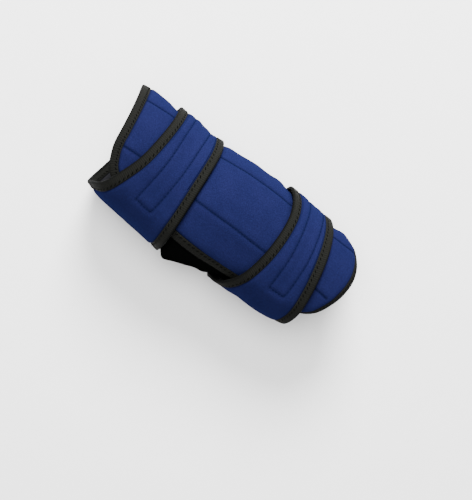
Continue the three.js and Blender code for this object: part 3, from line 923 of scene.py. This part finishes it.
def tape_object(name, outline, lower, thickness):
    """The folded section, carried round an outline at the height of its sheet."""
    section, across = tape_section(thickness)
    n, m = len(outline["loop"]), len(section)
    turn = np.arange(n) * 2 * math.pi / n
    wander = WANDER * np.sin(9 * turn) * np.sin(4 * turn + 1)
    hoops = []
    for depth, height in section:
        points, rise = rolled(outline, depth + wander * depth / TAPE_WIDTH, height)
        hoops.append(over_wall(points, lower(points) + rise))
    i, j = (part.ravel() for part in np.meshgrid(np.arange(n), np.arange(m), indexing="ij"))
    i2, j2 = (i + 1) % n, (j + 1) % m
    faces = np.stack([i * m + j, i * m + j2, i2 * m + j2, i2 * m + j], -1)
    made = mesh_object(name, np.stack(hoops, 1).reshape(-1, 3), faces)

    # Where a face closes the ring or the section, its far corners are at the strip's end.
    reach = reach_along(closed_path(hoops[ON_THE_LEG]))
    wide = np.append(across, across[-1] + 1.0)
    corners = np.empty(len(made.data.loops), np.int32)
    made.data.loops.foreach_get("vertex_index", corners)
    hoop, spot = np.divmod(corners, m)
    hoop[(hoop == 0) & (np.repeat(i, 4) == n - 1)] = n
    spot[(spot == 0) & (np.repeat(j, 4) == m - 1)] = m
    places = np.stack([reach[hoop], wide[spot]], -1) * MM
    made.data.uv_layers.new(name="tape").data.foreach_set("uv", places.astype(np.float32).ravel())
    print(name, "is", round(reach[-1]), "mm of tape")
    return made


panel_tape = tape_object("panel_tape", panel_outline, panel_face, PANEL)
upper_tape = tape_object("upper_strap_tape", upper_outline, strap_face, STRAP)
lower_tape = tape_object("lower_strap_tape", lower_outline, strap_face, STRAP)

# %% [markdown]
# Cloth is told from plastic by what happens at a millimetre: a nap that scatters light, a
# rib, a knit. Each finish below mixes two or three close colours by noise on the piece's
# own coordinates and gives the same noise to a bump, so colour and relief belong
# together. A picture of cloth would need to be made, mapped and scaled, and noise has no
# seam. Scales are in cells to a metre, because the pieces are modelled in metres.
# Sewing thread is the simplest: twisted fibres, dark and matt, as noise in two colours.

# %% Short ways to write a finish, and the finish of the thread
SHEEN_ROUGHNESS = 0.55


def new_finish(name, roughness, sheen=0.0, sheen_tint=(1, 1, 1), gloss=0.03):
    """A material, its tree and its shader, with what is the same all over set on the shader."""
    material = bpy.data.materials.new(name)
    material.use_nodes = True
    tree = material.node_tree
    shader = tree.nodes["Principled BSDF"]
    shader.inputs["Roughness"].default_value = roughness
    shader.inputs["Sheen Weight"].default_value = sheen
    shader.inputs["Sheen Roughness"].default_value = SHEEN_ROUGHNESS
    shader.inputs["Sheen Tint"].default_value = (*sheen_tint, 1)
    shader.inputs["Specular IOR Level"].default_value = gloss
    return material, tree, shader


def node(tree, kind, inputs=None, **settings):
    """A node with its settings made, and each input linked to a socket or set to a value."""
    made = tree.nodes.new(kind)
    for key, value in settings.items():
        setattr(made, key, value)
    for key, value in (inputs or {}).items():
        socket = made.inputs[key]
        if isinstance(value, bpy.types.NodeSocket):
            tree.links.new(value, socket)
        else:
            socket.default_value = (*value, 1) if socket.type == "RGBA" else value
    return made


def place_of(tree):
    """The piece's own coordinates, in metres."""
    return node(tree, "ShaderNodeTexCoord").outputs["Object"]


def noise(tree, vector, scale, detail=3.0, roughness=0.6):
    """Soft grain between 0 and 1."""
    inputs = {"Vector": vector, "Scale": scale, "Detail": detail, "Roughness": roughness}
    return node(tree, "ShaderNodeTexNoise", inputs).outputs["Fac"]


def ramp(tree, factor, stops):
    """Turns a number into a colour, by stops of a place and a colour."""
    made = node(tree, "ShaderNodeValToRGB", {"Fac": factor})
    elements = made.color_ramp.elements
    while len(elements) < len(stops):
        elements.new(0.5)
    for element, (position, colour) in zip(elements, stops):
        element.position = position
        element.color = (*colour, 1)
    return made.outputs["Color"]


def coloured(tree, shader, colour):
    """Gives the shader its colour."""
    tree.links.new(colour, shader.inputs["Base Color"])


def bumped(tree, shader, height, distance, strength):
    """Lets a height catch the light, without moving the surface."""
    inputs = {"Height": height, "Distance": distance, "Strength": strength}
    bump = node(tree, "ShaderNodeBump", inputs)
    tree.links.new(bump.outputs["Normal"], shader.inputs["Normal"])


def thread_finish(name, dark, light):
    """Twisted fibres, in two close colours."""
    material, tree, shader = new_finish(name, 0.9, gloss=0.0)
    twist = noise(tree, place_of(tree), 2600, 2.0)
    coloured(tree, shader, ramp(tree, twist, [(0.35, dark), (0.7, light)]))
    bumped(tree, shader, twist, 0.0001, 0.6)
    return material


navy_thread = thread_finish("navy_thread", (0.0012, 0.002, 0.011), (0.0026, 0.0042, 0.024))
black_thread = thread_finish("black_thread", (0.0004, 0.0004, 0.0004), (0.0015, 0.0015, 0.0012))
print("nodes in a thread's finish:", len(navy_thread.node_tree.nodes))

# %% [markdown]
# The face of the laminate is brushed loop cloth, a matt nap in royal blue. It could be
# grown as hair, but at this size the loops are too fine to see one by one. So a fine
# noise makes the nap, a coarse one the patches where it lies differently, and both are
# darkened by painted shade in the creases that the sheets carry. A little sheen stands
# for light caught in the nap, which brightens where the cloth turns away.

# %% The blue loop cloth
NAP_BLUES = [
    (0.3, (0.0041, 0.0044, 0.0200)),
    (0.55, (0.0065, 0.0074, 0.0335)),
    (0.8, (0.0100, 0.0120, 0.0520)),
]
PATCH_SHADES = [(0.3, (0.84, 0.86, 0.88)), (0.7, (1.0, 1.0, 1.0))]
# The painted shade that the blue is darkened towards in the creases.
CREASE_SHADE_BLUE = (0.0004, 0.0006, 0.003)


def mixed(tree, factor, a, b, how="MIX"):
    """Blends two colours, each given as a colour or as a socket."""
    inputs = {0: factor, 6: a, 7: b}
    return node(tree, "ShaderNodeMix", inputs, data_type="RGBA", blend_type=how).outputs[2]


def math_node(tree, operation, a, b):
    """One step of arithmetic on numbers or sockets."""
    return node(tree, "ShaderNodeMath", {0: a, 1: b}, operation=operation).outputs[0]


def scaled(tree, value, share):
    """A value times a plain number."""
    return math_node(tree, "MULTIPLY", value, share)


def blue_loop_finish():
    """A nap in three blues, in patches, with painted shade in the creases."""
    material, tree, shader = new_finish("blue_loop_cloth", 1.0, 0.03, (0.15, 0.25, 1.0), 0.0)
    place = place_of(tree)
    nap = noise(tree, place, 1150, 4.0, 0.7)
    shade = ramp(tree, noise(tree, place, 42), PATCH_SHADES)
    blue = mixed(tree, 1.0, ramp(tree, nap, NAP_BLUES), shade, "MULTIPLY")
    crease = node(tree, "ShaderNodeAttribute", attribute_name="crease").outputs["Fac"]
    # Painted shade: the crease value darkens the blue in seams and beside edges.
    coloured(tree, shader, mixed(tree, scaled(tree, crease, 0.6), blue, CREASE_SHADE_BLUE))
    loops = {"Vector": place, "Scale": 1400.0}
    curls = node(tree, "ShaderNodeTexVoronoi", loops).outputs["Distance"]
    bumped(tree, shader, math_node(tree, "ADD", nap, scaled(tree, curls, 0.5)), 0.00035, 0.8)
    return material


blue_loop = blue_loop_finish()
print("nodes in the blue cloth's finish:", len(blue_loop.node_tree.nodes))

# %% [markdown]
# The binding is woven tape, dark olive grey, with fine ribs across it. Ribs on object
# coordinates would cut through the tape at every bend, so they are waves on its own UV
# map, and turn with the strip. Where the tape folds over the edge it is painted darker,
# as painted shade where the fold turns away from the light.

# %% The woven tape
TAPE_DARKS = [(0.25, (0.0013, 0.0014, 0.0012)), (0.75, (0.0044, 0.0046, 0.0040))]
TAPE_LIGHT = (0.0112, 0.0114, 0.0096)
# The painted shade at the tape's fold.
TAPE_FOLD_SHADE = (0.0012, 0.0013, 0.0011)
# Metres across the strip to its fold, and from there to where the painted shade begins and ends.
FOLD_AT = 0.0105
FOLD_DARK = 0.0014
FOLD_LIGHT = 0.0040


def waves(tree, vector, scale, distortion, detail, way):
    """Bands across one axis, a little uneven."""
    inputs = {"Vector": vector, "Scale": scale, "Distortion": distortion, "Detail": detail}
    return node(tree, "ShaderNodeTexWave", inputs, bands_direction=way).outputs["Fac"]


def tape_finish():
    """Ribs across the strip and fine cords along it, with painted shade at the fold."""
    material, tree, shader = new_finish("woven_tape", 0.85, gloss=0.04)
    strip = node(tree, "ShaderNodeUVMap", uv_map="tape").outputs["UV"]
    ribs = scaled(tree, waves(tree, strip, 165.0, 0.6, 1.0, "X"), 0.7)
    cords = scaled(tree, waves(tree, strip, 420.0, 0.4, 2.0, "Y"), 0.4)
    weave = math_node(tree, "ADD", ribs, cords)
    fuzz = noise(tree, place_of(tree), 900)
    woven = mixed(tree, scaled(tree, weave, 0.5), ramp(tree, fuzz, TAPE_DARKS), TAPE_LIGHT)
    across = node(tree, "ShaderNodeSeparateXYZ", {"Vector": strip}).outputs["Y"]
    from_fold = math_node(tree, "ABSOLUTE", math_node(tree, "SUBTRACT", across, FOLD_AT), 0.0)
    edges = {"Value": from_fold, "From Min": FOLD_DARK, "From Max": FOLD_LIGHT}
    flat = node(tree, "ShaderNodeMapRange", edges, interpolation_type="SMOOTHSTEP")
    # Painted shade: the tape is darkened at its fold, where it turns away from the light.
    coloured(tree, shader, mixed(tree, flat.outputs["Result"], TAPE_FOLD_SHADE, woven))
    bumped(tree, shader, math_node(tree, "ADD", weave, scaled(tree, fuzz, 0.5)), 0.0002, 0.8)
    return material


black_tape = tape_finish()
print("nodes in the tape's finish:", len(black_tape.node_tree.nodes))

# %% [markdown]
# The lining is a plain black knit and the gusset a smooth black stretch one. A knit is
# rows of small loops. Modelled loops would be far too many, so a wave lays the rows, noise
# breaks them up, and the two cloths differ only in their colours, scale and sheen.

# %% The knits of the lining and the gusset
def knit_finish(name, dark, light, scale, sheen):
    """Rows of small loops, broken up by noise."""
    material, tree, shader = new_finish(name, 1.0, sheen, gloss=0.0)
    place = place_of(tree)
    rows = waves(tree, place, scale, 1.5, 2.0, "X")
    fuzz = noise(tree, place, 1600)
    coloured(tree, shader, ramp(tree, fuzz, [(0.3, dark), (0.75, light)]))
    bumped(tree, shader, math_node(tree, "ADD", scaled(tree, rows, 0.6), fuzz), 0.0002, 0.7)
    return material


lining_knit = knit_finish("lining_knit", (0.005, 0.005, 0.006), (0.011, 0.011, 0.013), 520.0, 0.02)
stretch_knit = knit_finish(
    "stretch_knit", (0.0006, 0.0007, 0.0006), (0.0018, 0.0020, 0.0018), 620.0, 0.0
)
print("knits:", lining_knit.name, "and", stretch_knit.name)

# %% [markdown]
# Hook tape is a dense field of stiff nylon hooks, a little shinier than the cloth. Rounded
# cells give that field, in the colour and in the relief. Then every piece gets its
# finish. A sheet lists its outer face first, then the inner one and last the rim, so the
# lining's share of the faces can be counted off instead of picked one by one.

# %% The hook tape, and dress the pieces
HOOK_GREYS = [(0.1, (0.012, 0.012, 0.014)), (0.6, (0.03, 0.03, 0.034))]


def hook_finish():
    """A field of small stiff hooks."""
    material, tree, shader = new_finish("hook_field", 0.5)
    field = {"Vector": place_of(tree), "Scale": 700.0}
    cells = node(tree, "ShaderNodeTexVoronoi", field).outputs["Distance"]
    coloured(tree, shader, ramp(tree, cells, HOOK_GREYS))
    bumped(tree, shader, cells, 0.0005, 1.0)
    return material


def line_sheet(sheet, outer, outline):
    """Gives a sheet its finish, and the lining to its inner face."""
    mesh = sheet.data
    mesh.materials.append(outer)
    mesh.materials.append(lining_knit)
    faces = (len(mesh.polygons) - len(outline["loop"])) // 2
    finish = np.zeros(len(mesh.polygons), np.int32)
    finish[faces : 2 * faces] = 1
    mesh.polygons.foreach_set("material_index", finish)


line_sheet(panel, blue_loop, panel_outline)
line_sheet(upper_strap, blue_loop, upper_outline)
line_sheet(lower_strap, blue_loop, lower_outline)
line_sheet(gusset, stretch_knit, gusset_outline)
for tape in (panel_tape, upper_tape, lower_tape):
    tape.data.materials.append(black_tape)
hooks = hook_finish()
for patch in (upper_hook, lower_hook):
    patch.data.materials.append(hooks)
finishes = (blue_loop, black_tape, lining_knit, stretch_knit, hooks, navy_thread, black_thread)
print("finishes:", ", ".join(finish.name for finish in finishes))

# %% [markdown]
# Some fifteen hundred stitches hold the brace together. Modelling one and laying it on
# points is what Geometry Nodes is for: each point carries the way the thread runs, the
# way out of the cloth and how far it reaches, and the tree turns a short bead of thread
# to fit. The instances are made real at the end, because the exported model needs them.

# %% A node tree that lays stitches on points
THREAD_SIZES = [("Thread width", 0.0006), ("Thread height", 0.0004), ("Unevenness", 0.15)]
SEED = 7
TURN_TO = "FunctionNodeAlignRotationToVector"


def add_socket(tree, name, kind, value=None, way="INPUT"):
    """A named input or output of a tree, with its usual value."""
    made = tree.interface.new_socket(name, in_out=way, socket_type="NodeSocket" + kind)
    if value is not None:
        made.default_value = value


def carried(tree, name, kind):
    """What each point carries under a name."""
    made = node(tree, "GeometryNodeInputNamedAttribute", {"Name": name}, data_type=kind)
    return made.outputs["Attribute"]


def stitch_tree():
    """Puts a bead of thread on every point, turned, stretched and made real."""
    tree = bpy.data.node_groups.new("stitches", "GeometryNodeTree")
    add_socket(tree, "Geometry", "Geometry")
    for name, value in THREAD_SIZES:
        add_socket(tree, name, "Float", value)
    add_socket(tree, "Seed", "Int", SEED)
    add_socket(tree, "Thread", "Material")
    add_socket(tree, "Geometry", "Geometry", way="OUTPUT")
    given = node(tree, "NodeGroupInput").outputs
    bead = node(tree, "GeometryNodeMeshUVSphere", {"Segments": 6, "Rings": 4, "Radius": 0.5})
    run = node(tree, TURN_TO, {"Vector": carried(tree, "run", "FLOAT_VECTOR")}, axis="X")
    facing = {"Rotation": run.outputs["Rotation"], "Vector": carried(tree, "out", "FLOAT_VECTOR")}
    turned = node(tree, TURN_TO, facing, axis="Z", pivot_axis="X")
    least = math_node(tree, "SUBTRACT", 1.0, given["Unevenness"])
    chances = {2: least, 3: 1.0, "Seed": given["Seed"]}
    chance = node(tree, "FunctionNodeRandomValue", chances, data_type="FLOAT").outputs[1]
    wide = math_node(tree, "MULTIPLY", given["Thread width"], chance)
    sizes = {"X": carried(tree, "reach", "FLOAT"), "Y": wide, "Z": given["Thread height"]}
    laid = node(
        tree, "GeometryNodeInstanceOnPoints",
        {
            "Points": given["Geometry"],
            "Instance": bead.outputs["Mesh"],
            "Rotation": turned.outputs["Rotation"],
            "Scale": node(tree, "ShaderNodeCombineXYZ", sizes).outputs["Vector"],
        },
    )
    real = node(tree, "GeometryNodeRealizeInstances", {"Geometry": laid.outputs["Instances"]})
    smooth = node(tree, "GeometryNodeSetShadeSmooth", {"Geometry": real.outputs["Geometry"]})
    dyed = {"Geometry": smooth.outputs["Geometry"], "Material": given["Thread"]}
    last = node(tree, "GeometryNodeSetMaterial", dyed)
    node(tree, "NodeGroupOutput", {"Geometry": last.outputs["Geometry"]})
    return tree


stitches = stitch_tree()
tree_inputs = [item for item in stitches.interface.items_tree if item.in_out == "INPUT"]
print("inputs of the tree:", [item.name for item in tree_inputs])

# %% [markdown]
# The modifier is given its inputs by their identifiers, before it is first evaluated.
# What it makes is then taken over as a plain mesh, and the modifier goes, so that the
# export finds real beads and nothing that still has to be worked out.

# %% Lay stitches between pairs of points
def lay_stitches(name, starts, ends, outs, thread, width, height, seed):
    """starts and ends are where each stitch goes in, and outs the way out of the cloth."""
    starts, ends, outs = (np.vstack(part) for part in (starts, ends, outs))
    run = (ends - starts) * MM
    mesh = bpy.data.meshes.new(name)
    mesh.from_pydata((((starts + ends) / 2 + SHIFT) * MM).tolist(), [], [])
    set_values(mesh, "run", run)
    set_values(mesh, "out", outs)
    set_values(mesh, "reach", np.linalg.norm(run, axis=1))
    made = linked(name, mesh)
    modifier = made.modifiers.new("stitches", "NODES")
    modifier.node_group = stitches
    given = {"Thread width": width * MM, "Thread height": height * MM}
    given.update({"Seed": seed, "Thread": thread})
    for item in tree_inputs:
        if item.name in given:
            modifier[item.identifier] = given[item.name]
    finished = made.evaluated_get(bpy.context.evaluated_depsgraph_get())
    baked = bpy.data.meshes.new_from_object(finished)
    place = np.empty(3 * len(baked.vertices), np.float32)
    baked.vertices.foreach_get("co", place)
    place[2::3] = np.maximum(place[2::3], FLOOR)
    baked.vertices.foreach_set("co", place)
    made.modifiers.clear()
    made.data = baked
    bpy.data.meshes.remove(mesh)
    print(name, "has", len(run), "stitches and", len(baked.polygons), "faces")
    return made


usual = [round(value / MM, 2) for _, value in THREAD_SIZES[:2]]
print("usual width and height of a bead:", usual, "mm")

# %% [markdown]
# The tape is sewn down beside its inner edge, through both legs, with slanted stitches.
# They could be drawn as dashes in the material, but real beads catch the light and cast
# a small shade, which is what makes an edge look sewn.

# %% The stitches of the tape
STITCH_DEEP = TAPE_WIDTH - 1.0
STITCH_SHALLOW = TAPE_WIDTH - 2.8
THREAD_SEAT = 0.12
TAPE_THREAD = (1.05, 0.55)


def tape_stitches(name, outline, lower, thickness):
    """A stitch for every three points of the outline, on both legs of the tape."""
    count = len(outline["loop"])
    whole = count // 3 * 3
    deep = np.where(np.arange(count) % 3 == 0, STITCH_DEEP, STITCH_SHALLOW)
    starts, ends, outs = [], [], []
    legs = ((thickness - TAPE_RECESS + THREAD_SEAT, 1), (TAPE_RECESS - THREAD_SEAT / 2, -1))
    for height, way in legs:
        points, rise = (part[:whole] for part in rolled(outline, deep, height))
        spots = over_wall(points, lower(points) + rise)
        starts.append(spots[0::3])
        ends.append(spots[2::3])
        outs.append(way * wall_normal(points[1::3, 0], points[1::3, 1]))
    return lay_stitches(name, starts, ends, outs, black_thread, *TAPE_THREAD, SEED)


sewn = [
    tape_stitches("panel_tape_stitches", panel_outline, panel_face, PANEL),
    tape_stitches("upper_strap_tape_stitches", upper_outline, strap_face, STRAP),
    tape_stitches("lower_strap_tape_stitches", lower_outline, strap_face, STRAP),
]

# %% [markdown]
# The seams are running stitches that lie in the bottom of their grooves. Projecting them
# onto the finished mesh would do, but their height is known already: they ask the cloth's
# own relief for it, and so they lie in the groove wherever it runs.

# %% The stitches of the seams
STITCH_PITCH = 3.2
STITCH_GAP = 0.8
SEAM_SEED = 11
SEAM_THREAD = (0.7, 0.5)


def seam_stitches(name, paths, lower, thickness, relief, outline):
    """Stitches at even steps along each path, in the bottom of its groove."""
    starts, ends, outs = [], [], []
    for path in paths:
        reach = reach_along(path * scale_at(path))
        marks = np.arange(0, reach[-1] - STITCH_PITCH, STITCH_PITCH)
        for shift, group in ((0, starts), (STITCH_PITCH - STITCH_GAP, ends)):
            points = points_at(path, reach, marks + shift)
            lift, _ = relief(points, depth_in(points, outline))
            group.append(over_wall(points, lower(points) + thickness + lift + THREAD_SEAT))
        outs.append(wall_normal(points[:, 0], points[:, 1]))
    return lay_stitches(name, starts, ends, outs, navy_thread, *SEAM_THREAD, SEAM_SEED)


boxes = ([closed_path(upper_box)], [closed_path(lower_box)])
for name, paths, lower, thickness, relief, outline in (
    ("channel_stitches", channel_seams, panel_face, PANEL, panel_relief, panel_outline),
    ("upper_box_stitches", boxes[0], strap_face, STRAP, upper_relief, upper_outline),
    ("lower_box_stitches", boxes[1], strap_face, STRAP, lower_relief, lower_outline),
):
    sewn.append(seam_stitches(name, paths, lower, thickness, relief, outline))

# %% [markdown]
# Each piece is listed with the solid of the construction that it stands for and the finish
# of the record that it wears. Each is hung on the root, and its solid is hidden. The panel
# and the straps are foam laminate, so they are padded pieces. The gusset is one stretched
# layer, cut about 7 percent smaller in area than it lies.

# %% Tie the pieces to the construction
pairs = [
    (panel, "front_panel", "blue_loop_laminate"),
    (upper_strap, "upper_strap", "blue_loop_laminate"),
    (lower_strap, "lower_strap", "blue_loop_laminate"),
    (panel_tape, "front_panel_binding", "binding_tape"),
    (upper_tape, "upper_strap_binding", "binding_tape"),
    (lower_tape, "lower_strap_binding", "binding_tape"),
    (gusset, "elbow_gusset", "black_stretch"),
    (upper_hook, "upper_hook_patch", "hook_tape"),
    (lower_hook, "lower_hook_patch", "hook_tape"),
]
for piece, solid, finish in pairs:
    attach(piece, "root")
    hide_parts(solid)
for piece in sewn:
    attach(piece, "root")


# %% [markdown]
# A photograph of soft goods is lit softly: here by a broad light from the inside of the
# bend, towards the upper end, by a wide one overhead and by a bright surround. Small hard
# lights would draw every fold in black. The floor is pale and nearly plain, so that only
# the soft shade under the brace shows on it.

# %% Floor and lights
FLOOR_REACH = 6


def area_light(name, place, target, size, power):
    """A round, soft light that looks at a target."""
    light = bpy.data.lights.new(name, "AREA")
    light.shape = "DISK"
    light.size, light.energy = size, power
    made = linked(name, light)
    made.location = place
    made.rotation_mode = "QUATERNION"
    made.rotation_quaternion = (Vector(target) - Vector(place)).to_track_quat("-Z", "Y")


floor_finish, floor_tree, floor_shader = new_finish("pale_floor", 0.9)
grain = noise(floor_tree, place_of(floor_tree), 30)
pale = ramp(floor_tree, grain, [(0.2, (0.86, 0.86, 0.86)), (0.8, (0.88, 0.88, 0.88))])
coloured(floor_tree, floor_shader, pale)
floor_mesh = bpy.data.meshes.new("floor")
corners = [(FLOOR_REACH * x, FLOOR_REACH * y, 0) for x, y in ((-1, -1), (1, -1), (1, 1), (-1, 1))]
floor_mesh.from_pydata(corners, [], [(0, 1, 2, 3)])
floor_mesh.materials.append(floor_finish)
floor = linked("floor", floor_mesh)

world = bpy.data.worlds.new("studio")
world.use_nodes = True
surround = world.node_tree.nodes["Background"]
surround.inputs["Color"].default_value = (1, 1, 1, 1)
surround.inputs["Strength"].default_value = 0.95
bpy.context.scene.world = world
area_light("key", (-0.6, 1.15, 1.1), (0, 0, 0.05), 0.8, 112)
area_light("overhead", (-0.4, 0.25, 2.2), (0, 0, 0.0), 1.4, 72)
print("lights:", ", ".join(light.name for light in bpy.data.lights))

# %% [markdown]
# The camera looks almost straight down from a metre and a half, so the far side isn't
# stretched. Its place was found by fitting the hollow's outline to the photograph's: a
# lean towards the upper end, a turn that runs the brace down to the right, and one point
# of the brace that has to land on a known place of the picture.

# %% The camera
DISTANCE = 1500.0
MM_PER_PIXEL = 0.9
LEAN = math.radians(-4.0)
CAMERA_TURN = math.radians(36.27)
AIM = np.array([14.0, 0.0, 50.0])
AIM_PIXEL = (223.14, 219.82)
FRAME_SIZE = (472, 500)
SENSOR = 36
back = np.array([math.sin(LEAN), 0.0, math.cos(LEAN)])
right = np.array([math.cos(CAMERA_TURN), math.sin(CAMERA_TURN), 0.0])
right -= back * (right @ back)
right /= np.linalg.norm(right)
up = np.cross(back, right)
offset = [AIM_PIXEL[k] - FRAME_SIZE[k] / 2 for k in (0, 1)]
eye = AIM + back * DISTANCE + (up * offset[1] - right * offset[0]) * MM_PER_PIXEL
camera_data = bpy.data.cameras.new("camera")
camera_data.sensor_width = SENSOR
camera_data.lens = SENSOR * DISTANCE / MM_PER_PIXEL / max(FRAME_SIZE)
placed = np.eye(4)
placed[:3, :3] = np.stack([right, up, back], -1)
placed[:3, 3] = (eye + SHIFT) * MM
camera = linked("camera", camera_data)
camera.matrix_world = Matrix(placed.tolist())
bpy.context.scene.camera = camera
print("lens:", round(camera_data.lens, 1), "mm, camera at", placed[:3, 3].round(3), "m")
